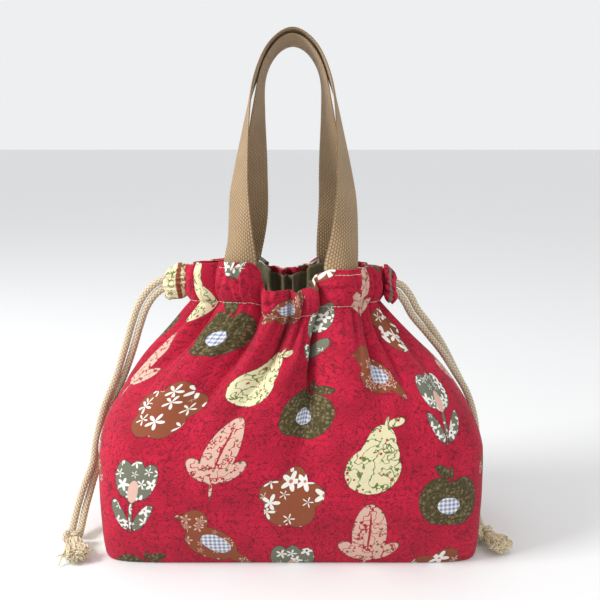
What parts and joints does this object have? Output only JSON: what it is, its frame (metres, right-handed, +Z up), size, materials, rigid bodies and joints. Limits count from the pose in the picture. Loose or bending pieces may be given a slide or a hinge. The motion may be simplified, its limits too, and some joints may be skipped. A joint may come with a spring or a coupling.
{
  "type": "drawstring lunch bag",
  "caption": "Small gathered cotton lunch bag with a boxed flat base, soft lined body, puckered drawstring mouth, knotted cords with frayed ends and upright webbing handles.",
  "frame": {"origin": "centre of the bag's flat base, on the surface it stands on", "axes": "+Z up to the handles, +X to the right along the bag's width as seen from its front, the front faces -Y"},
  "size_m": [0.3217, 0.1438, 0.3646],
  "materials": {
    "printed_cotton": "matte woven cotton with a patchwork print",
    "lining_cotton": "matte plain cotton",
    "cotton_webbing": "ribbed woven webbing",
    "cotton_cord": "undyed braided cotton"
  },
  "bodies": {
    "root": {"bag_shell": "printed_cotton", "lining": "lining_cotton", "front_handle": "cotton_webbing", "rear_handle": "cotton_webbing", "casing_end_left": "printed_cotton", "casing_end_right": "printed_cotton", "left_cord_upper": "cotton_cord", "left_cord_lower": "cotton_cord", "right_cord_upper": "cotton_cord", "right_cord_lower": "cotton_cord", "left_knot": "cotton_cord", "right_knot": "cotton_cord"}
  },
  "joints": []
}
